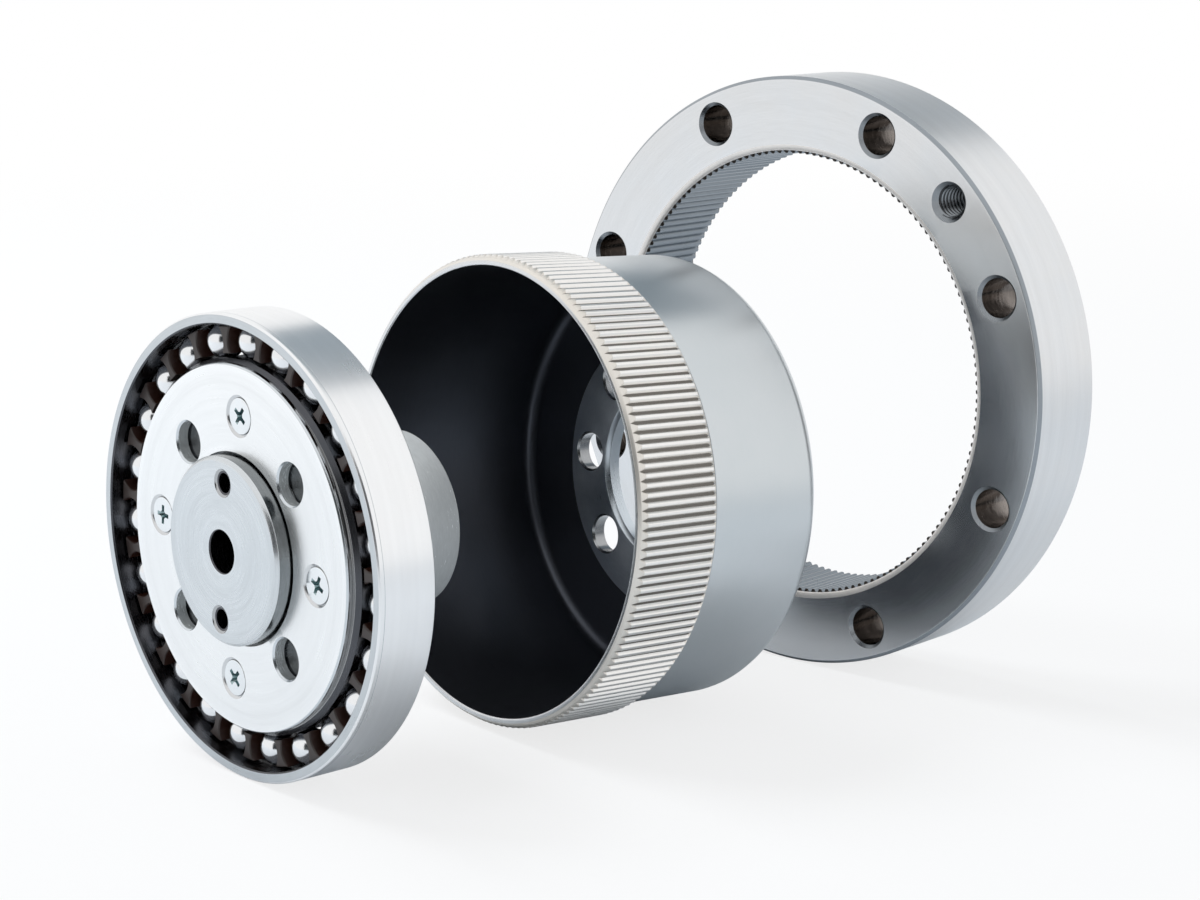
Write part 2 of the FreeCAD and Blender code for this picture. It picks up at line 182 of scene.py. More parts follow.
def copies_tree():
    """Geometry Nodes tree that sets copies of an item evenly round a circle or an oval."""
    tree = bpy.data.node_groups.new("Copies round an oval", "GeometryNodeTree")
    for name, kind in (("Item", "Geometry"), ("Count", "Int"), ("First angle", "Float"),
                       ("Circle radius", "Float"), ("Oval", "Float"), ("Loose turn", "Float"),
                       ("Seed", "Int"), ("Finish", "Material"), ("Inner finish", "Material")):
        tree.interface.new_socket(name, in_out="INPUT", socket_type="NodeSocket" + kind)
    tree.interface.new_socket("Copies", in_out="OUTPUT", socket_type="NodeSocketGeometry")
    given = node(tree, "NodeGroupInput").outputs

    def term(operation, *terms):
        return worked_out(tree, operation, *terms)

    index = node(tree, "GeometryNodeInputIndex").outputs[0]
    step = term("DIVIDE", 2.0 * math.pi, given["Count"])
    angle = term("MULTIPLY_ADD", index, step, given["First angle"])
    cosine = term("COSINE", angle)
    sine = term("SINE", angle)
    long_half = term("ADD", given["Circle radius"], given["Oval"])
    short_half = term("SUBTRACT", given["Circle radius"], given["Oval"])
    across = term("POWER", term("MULTIPLY", short_half, cosine), 2.0)
    upright = term("POWER", term("MULTIPLY", long_half, sine), 2.0)
    spread = term("SQRT", term("ADD", across, upright))
    reach = term("DIVIDE", term("MULTIPLY", long_half, short_half), spread)
    position = node(tree, "ShaderNodeCombineXYZ",
                    {"X": term("MULTIPLY", reach, cosine), "Z": term("MULTIPLY", reach, sine)})
    loose = node(tree, "FunctionNodeRandomValue", {3: given["Loose turn"], "Seed": given["Seed"]})
    heading = node(tree, "ShaderNodeCombineXYZ", {"Y": term("SUBTRACT", loose.outputs[1], angle)})
    rotation = node(tree, "FunctionNodeEulerToRotation", {0: heading.outputs[0]})
    points = node(tree, "GeometryNodePoints", {"Count": given["Count"], "Position": position.outputs[0]})
    copies = node(tree, "GeometryNodeInstanceOnPoints", {
        "Points": points.outputs[0], "Instance": given["Item"], "Rotation": rotation.outputs[0]})
    solid = node(tree, "GeometryNodeRealizeInstances", {0: copies.outputs[0]})
    painted = node(tree, "GeometryNodeSetMaterial",
                   {"Geometry": solid.outputs[0], "Material": given["Finish"]})
    inner = node(tree, "GeometryNodeInputNamedAttribute", {"Name": "inner"}, data_type="BOOLEAN")
    lined = node(tree, "GeometryNodeSetMaterial", {
        "Geometry": painted.outputs[0], "Selection": inner.outputs["Attribute"],
        "Material": given["Inner finish"]})
    node(tree, "NodeGroupOutput", {0: lined.outputs[0]})
    return tree


round_the_axis = copies_tree()


def copied(item, count, first, circle, oval=0.0, loose_turn=0.0):
    """Item made about its own centre, with X outward, repeated round the group's axis."""
    inner = item.data.attributes.new("inner", "BOOLEAN", "FACE")
    inner.data.foreach_set("value", [face.material_index > 0 for face in item.data.polygons])
    values = {"Count": count, "First angle": math.radians(first), "Circle radius": circle, "Oval": oval,
              "Loose turn": math.radians(loose_turn), "Seed": 8, "Finish": item.data.materials[0],
              "Inner finish": item.data.materials[-1]}
    modifier = item.modifiers.new("Copies", "NODES")
    modifier.node_group = round_the_axis
    for socket in round_the_axis.interface.items_tree:
        if socket.in_out == "INPUT" and socket.name in values:
            modifier[socket.identifier] = values[socket.name]
    baked(item)
    item.data.attributes.remove(item.data.attributes["inner"])
    return item


def settled(piece, place, body, slot, *nodes):
    """Set a finished piece in its group's place in metres, shade it and hand it to the frame."""
    piece.data.transform(place @ Matrix.Scale(0.001, 4))
    piece.data.shade_smooth()
    piece.data.set_sharp_from_angle(angle=math.radians(38))
    smooth = piece.modifiers.new("Smooth", "WEIGHTED_NORMAL")
    smooth.keep_sharp = True
    baked(piece)
    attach(piece, body)
    if nodes:
        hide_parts(*nodes)
    return piece


def metal(name, place, colour, roughness, marks=0.5, mottle=0.5, anisotropy=0.0, pitch=3.0,
          metallic=1.0, along_axis=False, tint=None, shortness=10.0, bands=0.0):
    """Machined metal or moulded resin, with fine marks round the group's axis or along it.

    The marks, blotches of a second tint and fine specks change its colour, its sheen and its bump.
    """
    material = bpy.data.materials.new(name)
    material.use_nodes = True
    tree = material.node_tree
    shader = tree.nodes["Principled BSDF"]
    shader.inputs["Metallic"].default_value = metallic
    shader.inputs["Anisotropic"].default_value = anisotropy
    shader.inputs["Anisotropic Rotation"].default_value = 0.25

    def term(operation, *terms):
        return worked_out(tree, operation, *terms)

    def vector(operation, inputs, result=0):
        return node(tree, "ShaderNodeVectorMath", inputs, operation=operation).outputs[result]

    def noise(inputs, **settings):
        return node(tree, "ShaderNodeTexNoise", inputs, **settings).outputs["Fac"]

    # The group's own millimetres, its axis along Y
    own = node(tree, "ShaderNodeMapping", {
        "Vector": node(tree, "ShaderNodeTexCoord").outputs["Object"], "Location": place.to_translation(),
        "Rotation": place.to_euler(), "Scale": (0.001, 0.001, 0.001)}, vector_type="TEXTURE").outputs[0]
    station = node(tree, "ShaderNodeSeparateXYZ", {0: own}).outputs["Y"]
    flat = vector("MULTIPLY", {0: own, 1: (1.0, 0.0, 1.0)})
    if along_axis:
        across = station
        around = vector("SCALE", {0: flat, "Scale": 0.4})
    else:
        across = term("ADD", vector("LENGTH", {0: flat}, "Value"), station)
        around = vector("SCALE", {0: vector("NORMALIZE", {0: flat}), "Scale": shortness})
    stretched = node(tree, "ShaderNodeCombineXYZ", {"Y": term("MULTIPLY", across, pitch)}).outputs[0]
    course = vector("ADD", {0: around, 1: stretched})
    lines = noise({"Vector": course, "Scale": 1.0, "Detail": 4.0, "Roughness": 0.7})
    patches = noise({"Vector": own, "Scale": 0.07, "Detail": 5.0, "Roughness": 0.6})
    specks = noise({"Vector": own, "Scale": 4.0, "Detail": 3.0})
    line_part = term("SUBTRACT", lines, 0.5)
    patch_part = term("SUBTRACT", patches, 0.5)
    speck_part = term("SUBTRACT", specks, 0.5)

    # Colour
    tone = term("MULTIPLY_ADD", line_part, 0.5 * marks, 1.0)
    tone = term("MULTIPLY_ADD", patch_part, 0.5 * mottle, tone)
    tone = term("MULTIPLY_ADD", speck_part, 0.12 * mottle, tone)
    if bands > 0.0:
        passes = noise({"W": across, "Scale": 0.45, "Detail": 1.0}, noise_dimensions="1D")
        tone = term("MULTIPLY_ADD", term("SUBTRACT", passes, 0.5), bands, tone)
    mixed = node(tree, "ShaderNodeMix", {
        "A": (*colour, 1.0), "B": (*(tint or colour), 1.0),
        "Factor": term("MULTIPLY_ADD", patch_part, 2.4, 0.4)}, data_type="RGBA")
    shade = vector("SCALE", {0: mixed.outputs["Result"], "Scale": tone})
    tree.links.new(shade, shader.inputs["Base Color"])

    # Sheen and bump
    sheen = term("MULTIPLY_ADD", line_part, 0.25 * marks, roughness)
    sheen = term("MULTIPLY_ADD", patch_part, 0.3 * mottle, sheen)
    tree.links.new(sheen, shader.inputs["Roughness"])
    bump = node(tree, "ShaderNodeBump", {"Strength": 0.22 * marks, "Distance": 0.00004, "Height": lines})
    tree.links.new(bump.outputs[0], shader.inputs["Normal"])

    # Highlights drawn out by marks that run round the axis
    if anisotropy > 0.0:
        circling = vector("CROSS_PRODUCT", {0: flat, 1: (0.0, 1.0, 0.0)})
        as_it_stands = node(tree, "ShaderNodeVectorRotate",
                            {"Rotation": place.to_euler(), "Vector": circling}, rotation_type="EULER_XYZ")
        world_way = node(tree, "ShaderNodeVectorTransform", {0: as_it_stands.outputs[0]},
                         vector_type="VECTOR", convert_from="OBJECT", convert_to="WORLD")
        tree.links.new(world_way.outputs[0], shader.inputs["Tangent"])
    return material


def bored(radius, length, edge, edge_finish, finish):
    """Tool for a hole through a piece that starts at station 0, with both edges chamfered."""
    beyond = 1.0
    mouth = radius + edge + beyond
    outline = [(0.0, -beyond, 0), (mouth, -beyond, 0), (radius, edge, 1),
               (radius, length - edge, 0), (mouth, length + beyond, 0), (0.0, length + beyond, 0)]
    return turned("Bore", outline, [edge_finish, finish], steps=64)


def tapped(inner, outer, pitch, length, edge, edge_finish, finish):
    """Tool for a tapped hole: a thread wound along its helix, with a chamfer at each end."""
    around = 40
    beyond = 0.6
    form = (0.0, 0.0, 0.4, 0.8, 1.0, 1.0, 0.8, 0.4)
    rows = int((length + 2.0 * beyond) / pitch + 2.0) * len(form)
    corners = []
    for row in range(rows + 1):
        for step in range(around):
            turn = 2.0 * math.pi * step / around
            station = -beyond - pitch + pitch * (row / len(form) + step / around)
            station = min(max(station, -beyond), length + beyond)
            mouth = outer + edge - min(station, length - station)
            reach = max(inner + (outer - inner) * form[row % len(form)], min(mouth, outer + edge + 0.5))
            corners.append((reach * math.cos(turn), station, reach * math.sin(turn)))
    faces = [tuple(range(around)), tuple(range(rows * around, (rows + 1) * around))]
    indexes = [0, 0]
    for row in range(rows):
        for step in range(around):
            here = row * around + step
            ahead = here + 1
            if step == around - 1:
                ahead = (row + len(form)) * around
            if ahead + around >= len(corners):
                ahead = min(ahead, rows * around)
                if ahead + around >= len(corners):
                    ahead = (rows - 1) * around
            faces.append((here, ahead, ahead + around, here + around))
            depth = corners[here][1]
            flank = row % len(form) not in (0, len(form) - 1)
            indexes.append(1 if flank and edge < depth < length - edge else 0)
    return piece_from("Tap", corners, faces, [edge_finish, finish], indexes)


def tooth(name, finish, end_finish, root, tip, pitch_radius, start, end, run_in, run_out, pointed=1.0):
    """One straight-sided tooth about its pitch point, sloping down to the root at both ends.

    Where pointed is 1, its ends spread to meet the next tooth's, so that the gaps end in points.
    """
    half_pitch = math.pi * module / 4.0
    slope = math.tan(flank_angle)
    side = 1.0 if tip > root else -1.0
    half_root = half_pitch + slope * abs(root - pitch_radius) + 0.01
    half_tip = half_pitch - slope * abs(tip - pitch_radius)
    low = root - pitch_radius - side * 0.03
    high = tip - pitch_radius
    outline = [(low, half_root)]
    for depth, inset in ((0.10, -0.05), (0.02, 0.03), (0.0, 0.12)):
        outline.append((high - side * depth, half_tip - inset))
    outline += [(height, -width) for height, width in reversed(outline)]
    corners = []
    for station, rise in ((start, 0.0), (start + run_in, 1.0), (end - run_out, 1.0), (end, 0.0)):
        for height, width in outline:
            spread = math.copysign(2.0 * half_pitch, width) - width
            corners.append((low + (height - low) * rise, station, width + spread * (1.0 - rise) * pointed))
    count = len(outline)
    faces = []
    indexes = []
    for section in range(3):
        here = section * count
        for index in range(count):
            after = (index + 1) % count
            faces.append((here + index, here + after, here + count + after, here + count + index))
            indexes.append(0 if section == 1 else 1)
    return piece_from(name, corners, faces, [finish, end_finish], indexes, merged=False)


ring_steel = metal("Ring steel", ring_place, (0.74, 0.745, 0.75), 0.22, marks=0.30, mottle=0.3,
                   anisotropy=0.5, pitch=4.0, tint=(0.69, 0.71, 0.73), bands=0.08)
ring_rim_steel = metal("Ring rim steel", ring_place, (0.80, 0.805, 0.81), 0.37, marks=0.22, mottle=0.3,
                       anisotropy=0.4, pitch=3.0, tint=(0.74, 0.76, 0.78), bands=0.08)
# Painted shade: the outer chamfers are coloured far darker than the ring's face, so that they read dark.
ring_bevel_shade_steel = metal("Ring bevel painted shade", ring_place, (0.32, 0.35, 0.38), 0.30, marks=0.4, mottle=0.5)
# Painted light: the bore's front edge faces down, away from the lamp, and is made nearly white and partly
# non-metal so that it looks lit.
ring_edge_lit_steel = metal("Ring bore edge painted light", ring_place, (0.93, 0.90, 0.87), 0.36, marks=0.5, mottle=0.4,
                        metallic=0.6, tint=(0.87, 0.83, 0.79))
hole_edge_steel = metal("Ring hole edge", ring_place, (0.27, 0.29, 0.31), 0.30, marks=0.6, mottle=1.8)
# Painted shade: the bolt hole walls are coloured near black; their strong streaks are partly drilling marks
# and partly painted glints.
drilled_shade_steel = metal("Drilled hole painted shade", ring_place, (0.10, 0.085, 0.075), 0.14, marks=3.2, mottle=1.8,
                      pitch=1.3, along_axis=True, tint=(0.30, 0.27, 0.25))
# Painted shade: the jacking holes' threads are coloured near black.
thread_shade_steel = metal("Thread painted shade", ring_place, (0.05, 0.052, 0.055), 0.22, marks=0.0, mottle=0.4)
# Painted shade: the teeth and the bore, deep inside the ring, are coloured much darker than its face.
ring_tooth_shade_steel = metal("Ring tooth steel painted shade", ring_place, (0.24, 0.27, 0.30), 0.30, marks=0.3, mottle=0.6)
# Painted shade: the sloping ends of the ring's teeth are coloured near black.
ring_tooth_end_shade_steel = metal("Ring tooth end painted shade", ring_place, (0.06, 0.052, 0.046), 0.40, marks=0.2,
                        mottle=0.6)

face, bore_edge, bore, bevel, rim = range(5)
ring_body = turned("circular_spline_body", softened([
    (ring_root, ring_bevel, bore_edge), (ring_root + ring_front_knee, ring_front_knee, bore_edge),
    (ring_root + ring_front_edge, 0.0, face), (ring_outside - ring_bevel, 0.0, bevel),
    (ring_outside, ring_bevel, rim), (ring_outside, ring_width - ring_bevel, bevel),
    (ring_outside - ring_bevel, ring_width, face), (ring_root + ring_bevel, ring_width, bore_edge),
    (ring_root, ring_width - ring_bevel, bore)]),
    [ring_steel, ring_edge_lit_steel, ring_tooth_shade_steel, ring_bevel_shade_steel, ring_rim_steel])
bolt_tool = bored(bolt_hole_radius, ring_width, ring_bevel, hole_edge_steel, drilled_shade_steel)
cut(ring_body, copied(bolt_tool, bolt_hole_count, bolt_hole_start, ring_hole_circle))
jack_tool = tapped(jack_thread_inside, jack_thread_outside, jack_thread_pitch, ring_width, jack_hole_bevel,
                   hole_edge_steel, thread_shade_steel)
cut(ring_body, copied(jack_tool, jack_hole_count, jack_hole_start, ring_hole_circle))
settled(ring_body, ring_place, "ring", "ring_steel", "circular_spline")
ring_teeth = tooth("circular_spline_teeth", ring_tooth_shade_steel, ring_tooth_end_shade_steel, ring_root, ring_tip,
                   ring_pitch, ring_bevel, ring_width - ring_bevel, ring_tooth_slope, ring_tooth_slope,
                   pointed=0.0)
copied(ring_teeth, ring_tooth_count, 0.0, ring_pitch)
settled(ring_teeth, ring_place, "ring", "ring_steel")


# Flexspline: a thin cup of heat-treated steel, with 160 fine teeth round its open end, a satin barrel
# behind them, and a bare inside coloured dark as painted shade. The thick boss in the middle of its thin
# back has eight holes.
# It lies on its tooth band and the end of its barrel, so it leans back a little.
cup_place = (Matrix.Translation((-0.0122, -0.0677, -0.0133162))
             @ Matrix.Rotation(math.radians(-7.7), 4, "Z")
             @ Matrix.Rotation(math.radians(-3.1217), 4, "X")
             @ Matrix.Rotation(math.radians(-2.4), 4, (0, -1, 0)))
cup_tooth_count = 160
cup_root = 40.354
cup_tip = 40.862
cup_pitch = 40.64
cup_bore = 39.0
cup_mouth_bevel = 0.2
cup_cone_inside = 39.85
cup_cone_end = 0.504
tooth_band_end = 16.2
cup_tooth_start = 0.474
cup_tooth_end = 16.6
cup_tooth_run_in = 0.95
cup_tooth_run_out = 0.65
barrel_outside = 39.66
barrel_start = 17.3
corner_centre = 36.8
corner_outside = 2.86
corner_outside_station = 38.24
corner_inside = 2.2
corner_inside_station = 38.0
back_front = 40.2
back_rear = 41.1
boss_outside = 25.7
boss_step = 0.4
boss_front = 39.8
boss_rear = 42.7
boss_bore = 15.4
boss_bore_bevel = 0.7
boss_hole_radius = 3.4
boss_hole_bevel = 0.35
boss_hole_count = 8
boss_hole_circle = 20.6
barrel_steel = metal("Barrel steel", cup_place, (0.63, 0.67, 0.69), 0.30, marks=0.06, mottle=0.03,
                     anisotropy=0.2, tint=(0.66, 0.69, 0.71))
cup_rim_steel = metal("Cup rim steel", cup_place, (0.74, 0.75, 0.76), 0.28, marks=0.3, mottle=0.4)
# Painted shade: the gaps between the teeth are coloured dark.
cup_gap_shade_steel = metal("Tooth gap painted shade", cup_place, (0.17, 0.16, 0.145), 0.40, marks=0.2, mottle=0.8)
cup_tooth_steel = metal("Cup tooth steel", cup_place, (0.93, 0.92, 0.90), 0.30, marks=0.2, mottle=0.5,
                        tint=(0.86, 0.84, 0.81))
# Painted shade: the inside of the cup is coloured near black.
cup_inside_shade_steel = metal("Cup inside painted shade", cup_place, (0.085, 0.092, 0.110), 0.33, marks=0.4, mottle=0.5,
                         anisotropy=0.3, metallic=0.9)
cup_end_steel = metal("Tooth end steel", cup_place, (0.84, 0.81, 0.76), 0.36, marks=0.3, mottle=0.8,
                      metallic=0.8, tint=(0.74, 0.70, 0.64))
# Painted shade: the run-out behind the teeth is coloured a darker blue grey, as the shadow line there.
run_out_shade_steel = metal("Run-out painted shade", cup_place, (0.40, 0.44, 0.48), 0.34, marks=0.2, mottle=0.5)
# Painted shade: the back of the cup is coloured near black, so that the ring's face shows a dark reflection
# of it.
cup_back_shade_steel = metal("Cup back painted shade", cup_place, (0.09, 0.10, 0.115), 0.34, marks=0.5, mottle=0.6,
                       anisotropy=0.4)
boss_steel = metal("Boss steel", cup_place, (0.50, 0.56, 0.62), 0.34, marks=0.5, mottle=1.0,
                   tint=(0.62, 0.66, 0.70))
boss_bore_steel = metal("Boss bore steel", cup_place, (0.66, 0.72, 0.77), 0.28, marks=0.2, mottle=0.2)
boss_hole_steel = metal("Boss hole steel", cup_place, (0.42, 0.43, 0.44), 0.24, marks=0.3, mottle=0.5,
                        along_axis=True)

barrel, gap, rim, inside, boss, bore, back, run_out, cone = range(9)
cup_outline = [
    (cup_bore, cup_mouth_bevel, rim), (cup_bore + cup_mouth_bevel, 0.0, rim),
    (cup_cone_inside, 0.0, cone), (cup_root, cup_cone_end, gap), (cup_root, tooth_band_end, run_out),
    (barrel_outside, barrel_start, barrel), (barrel_outside, corner_outside_station, barrel)]
for degree in range(15, 90, 15):
    turn = math.radians(degree)
    cup_outline.append((corner_centre + corner_outside * math.cos(turn),
                        corner_outside_station + corner_outside * math.sin(turn),
                        barrel if degree < 60 else back))
cup_outline += [
    (corner_centre, back_rear, back), (boss_outside, back_rear, back), (boss_outside, boss_rear, back),
    (boss_bore, boss_rear, bore), (boss_bore, boss_front + boss_bore_bevel, bore),
    (boss_bore + boss_bore_bevel, boss_front, boss), (boss_outside, boss_front, inside),
    (boss_outside + boss_step, back_front, inside), (corner_centre, back_front, inside)]
for degree in range(75, 0, -15):
    turn = math.radians(degree)
    cup_outline.append((corner_centre + corner_inside * math.cos(turn),
                        corner_inside_station + corner_inside * math.sin(turn), inside))
cup_outline.append((cup_bore, corner_inside_station, inside))
cup_body = turned("flexspline_body", softened(cup_outline, 0.08),
                  [barrel_steel, cup_gap_shade_steel, cup_rim_steel, cup_inside_shade_steel, boss_steel,
                   boss_bore_steel, cup_back_shade_steel, run_out_shade_steel, cup_end_steel])
boss_tool = bored(boss_hole_radius, boss_rear - boss_front, boss_hole_bevel, boss_hole_steel,
                  boss_hole_steel)
moved_along(boss_tool, boss_front)
cut(cup_body, copied(boss_tool, boss_hole_count, 0.0, boss_hole_circle))
settled(cup_body, cup_place, "cup", "cup_steel", "flexspline")
cup_teeth = tooth("flexspline_teeth", cup_tooth_steel, cup_end_steel, cup_root, cup_tip, cup_pitch,
                  cup_tooth_start, cup_tooth_end, cup_tooth_run_in, cup_tooth_run_out)
copied(cup_teeth, cup_tooth_count, 0.0, cup_pitch)
settled(cup_teeth, cup_place, "cup", "cup_steel")


# Bearing rings: a thin outer ring and an inner ring of hardened bearing steel, ground all over.
# The plug bends both to its oval, whose half width is two modules more than its half height.
# A fine line is turned round the outer ring close to its front edge.
wave_place = (Matrix.Translation((-0.0229, -0.1149, -0.0165508))
              @ Matrix.Rotation(math.radians(-5.8), 4, "Z")
              @ Matrix.Rotation(math.radians(-4.7), 4, (0, -1, 0)))
oval = module
ball_plane = 5.4
ball_circle = 34.2
groove_radius = 3.225
bearing_width = 10.8
outer_ring_outside = 38.95
outer_ring_bevel = 0.3
outer_ring_inside = 37.05
outer_ring_mouth = 0.25
outer_groove_half = 27.9
line_station = 1.0
line_half_width = 0.05
line_depth = 0.03
inner_ring_bore = 28.6
inner_ring_outside = 31.45
inner_ring_front = 1.5
inner_ring_rear = 9.3
inner_front_bevel = 0.75
inner_rear_bevel = 0.3
inner_groove_half = 31.5
ground_steel = metal("Ground steel", wave_place, (0.90, 0.905, 0.91), 0.28, marks=0.10, mottle=0.12,
                     anisotropy=0.4, pitch=2.2, tint=(0.88, 0.895, 0.91), bands=0.10)
ring_face_steel = metal("Bearing face steel", wave_place, (0.58, 0.61, 0.63), 0.30, marks=0.5, mottle=0.4)
inner_face_steel = metal("Inner ring face steel", wave_place, (0.42, 0.42, 0.42), 0.15, marks=0.2,
                         mottle=0.3)
# Painted shade: the races and the bearing's inner surfaces, deep between the rings, are coloured near
# black.
race_steel = metal("Race painted shade", wave_place, (0.085, 0.09, 0.10), 0.27, marks=0.2, mottle=0.15,
                   tint=(0.11, 0.11, 0.12))


def groove_points(first, last, finish):
    """Points along the ball groove between two angles in degrees."""
    points = []
    for step in range(13):
        turn = math.radians(first + (last - first) * step / 12.0)
        points.append((ball_circle + groove_radius * math.cos(turn),
                       ball_plane + groove_radius * math.sin(turn), finish))
    return points


face, ground, race = range(3)
outer_outline = [
    (outer_ring_inside + outer_ring_mouth, 0.0, face),
    (outer_ring_outside - outer_ring_bevel, 0.0, ground), (outer_ring_outside, outer_ring_bevel, ground),
    (outer_ring_outside, line_station - line_half_width, face),
    (outer_ring_outside - line_depth, line_station, face),
    (outer_ring_outside, line_station + line_half_width, ground),
    (outer_ring_outside, bearing_width - outer_ring_bevel, face),
    (outer_ring_outside - outer_ring_bevel, bearing_width, face),
    (outer_ring_inside + outer_ring_mouth, bearing_width, race),
    (outer_ring_inside, bearing_width - outer_ring_mouth, race),
    *groove_points(outer_groove_half, -outer_groove_half, race),
    (outer_ring_inside, outer_ring_mouth, race)]
outer_ring = turned("bearing_outer_ring_body", softened(outer_outline, 0.06),
                    [ring_face_steel, ground_steel, race_steel], oval=oval)
settled(outer_ring, wave_place, "rotor", "ground_steel", "bearing_outer_ring")

race, face = range(2)
inner_outline = [
    (inner_ring_bore, inner_ring_front, face),
    (inner_ring_outside - inner_front_bevel, inner_ring_front, race),
    (inner_ring_outside, inner_ring_front + inner_front_bevel, race),
    *groove_points(180.0 + inner_groove_half, 180.0 - inner_groove_half, race),
    (inner_ring_outside, inner_ring_rear - inner_rear_bevel, race),
    (inner_ring_outside - inner_rear_bevel, inner_ring_rear, face),
    (inner_ring_bore, inner_ring_rear, race)]
inner_ring = turned("bearing_inner_ring_body", softened(inner_outline, 0.06),
                    [race_steel, inner_face_steel], oval=oval)
settled(inner_ring, wave_place, "rotor", "race_steel", "bearing_inner_ring")


# Balls and cage: 23 polished chrome-steel balls of a quarter inch, spaced by a cage of dark brown resin.
# The cage is moulded in one piece. Its pockets break out at the front, so that the balls snap in
# between its pillars.
ball_count = 23
ball_start = 46.5
ball_radius = 3.175
cage_inside = 32.15
cage_outside = 36.55
cage_front = 2.1
cage_rear = 9.8
pocket_radius = 3.9
pocket_end = 8.7
pocket_mouth = 5.05
pocket_mouth_front = 1.0
pocket_mouth_end = 2.3
chrome_steel = metal("Ball steel", wave_place, (0.84, 0.85, 0.86), 0.17, marks=0.0, mottle=0.15)
cage_resin = metal("Cage resin", wave_place, (0.034, 0.024, 0.021), 0.40, marks=0.1, mottle=0.8,
                   metallic=0.0, tint=(0.045, 0.033, 0.029))
# Painted shade: the pocket walls are coloured darker and redder than the cage's front.
pocket_shade_resin = metal("Pocket resin painted shade", wave_place, (0.026, 0.007, 0.003), 0.42, marks=0.1, mottle=0.5,
                     metallic=0.0)
ball_shape = bmesh.new()
bmesh.ops.create_icosphere(ball_shape, subdivisions=4, radius=ball_radius)
ball_mesh = bpy.data.meshes.new("balls")
ball_mesh.materials.append(chrome_steel)
ball_shape.to_mesh(ball_mesh)
ball_shape.free()
balls = moved_along(added("balls", ball_mesh), ball_plane)
copied(balls, ball_count, ball_start, ball_circle, oval=oval)
ball_nodes = ["ball_%02d" % (number + 1) for number in range(ball_count)]
settled(balls, wave_place, "rotor", "ball_chrome", *ball_nodes)
cage = turned("ball_cage_body", softened([(cage_inside, cage_front, 0), (cage_outside, cage_front, 0),
                                          (cage_outside, cage_rear, 0), (cage_inside, cage_rear, 0)], 0.15),
              [cage_resin], oval=oval)
pocket_tool = turned("pocket", [(0.0, pocket_mouth_front, 0), (pocket_mouth, pocket_mouth_front, 0),
                                (pocket_radius, pocket_mouth_end, 1), (pocket_radius, pocket_end, 1),
                                (0.0, pocket_end, 0)], [cage_resin, pocket_shade_resin], steps=64)
cut(cage, copied(pocket_tool, ball_count, ball_start, ball_circle, oval=oval))
settled(cage, wave_place, "rotor", "cage_resin", "ball_cage")


# Plug, coupling insert and washer: the steel plug bends the bearing to its oval and has the coupling's
# pocket in its front. The hub drives it through a floating resin insert, on a thin steel washer.
# All three are hidden or nearly so, and keep their solids' shapes.
# Painted shade: the plug, seen only deep in the plate's holes, is coloured dark.
plug_shade_steel = metal("Plug painted shade", wave_place, (0.16, 0.165, 0.17), 0.26, marks=0.7, mottle=0.6)
insert_resin = metal("Insert resin", wave_place, (0.05, 0.04, 0.035), 0.45, marks=0.1, mottle=0.5,
                     metallic=0.0)
washer_steel = metal("Washer steel", wave_place, (0.6, 0.61, 0.62), 0.28, marks=0.3, mottle=0.4)
for node_name, finish in (("wave_plug", plug_shade_steel), ("coupling_insert", insert_resin),
                          ("rub_washer", washer_steel)):
    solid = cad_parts[node_name]
    solid.data.materials.clear()
    solid.data.materials.append(finish)


# Front plate and its screws: a bright turned plate holds the inner ring on the plug and the hub in its
# pocket. Four zinc-plated M3 countersunk screws with cross recesses sit a little below its face.
plate_front = 0.55
plate_rear = 2.95
plate_opening = 16.0
plate_outside = 30.4
plate_bevel = 0.3
plate_lip_rear = 1.5
plate_spigot = 26.0
plate_hole_radius = 3.4
plate_hole_depth = 2.4
plate_hole_count = 4
plate_hole_start = 45.0
plate_hole_circle = 20.5
screw_count = 4
screw_circle = 22.2
head_top = 0.75
head_edge = 0.85
head_edge_bevel = 0.05
head_radius = 3.0
head_end = 2.4
shank_radius = 1.45
shank_end = 7.75
shank_point = 0.25
sink_mouth = 3.5
sink_mouth_depth = 0.56
sink_clearance = 0.05
sink_tool_front = -1.0
sink_tool_rear = 4.0
cross_reach = 1.65
cross_half_width = 0.36
cross_front = 0.4
cross_cuts = ((cross_front, 1.0), (head_top, 1.0), (1.9, 0.45))
cross_middle_mouth = 0.85
cross_middle_radius = 0.75
cross_middle_point = 0.3
cross_middle_end = 2.0
plate_steel = metal("Plate steel", wave_place, (0.895, 0.90, 0.90), 0.26, marks=0.3, mottle=0.15,
                    anisotropy=0.5, pitch=3.0, shortness=2.5, bands=0.10)
plate_bevel_steel = metal("Plate bevel steel", wave_place, (0.66, 0.70, 0.73), 0.24, marks=0.4, mottle=0.3)
plate_edge_steel = metal("Plate edge steel", wave_place, (0.46, 0.47, 0.48), 0.18, marks=0.3, mottle=0.2)
plate_hole_steel = metal("Plate hole steel", wave_place, (0.74, 0.78, 0.79), 0.24, marks=1.6, mottle=0.6,
                         pitch=2.0, metallic=0.5, along_axis=True)
sink_steel = metal("Sink steel", wave_place, (0.66, 0.67, 0.68), 0.20, marks=0.1, mottle=0.4)
screw_zinc = metal("Screw zinc", wave_place, (0.84, 0.86, 0.87), 0.18, marks=0.1, mottle=0.3)
# Painted shade: the cross recesses are coloured darker than the screw heads.
recess_shade_zinc = metal("Recess painted shade", wave_place, (0.36, 0.46, 0.47), 0.25, marks=0.0, mottle=1.0)

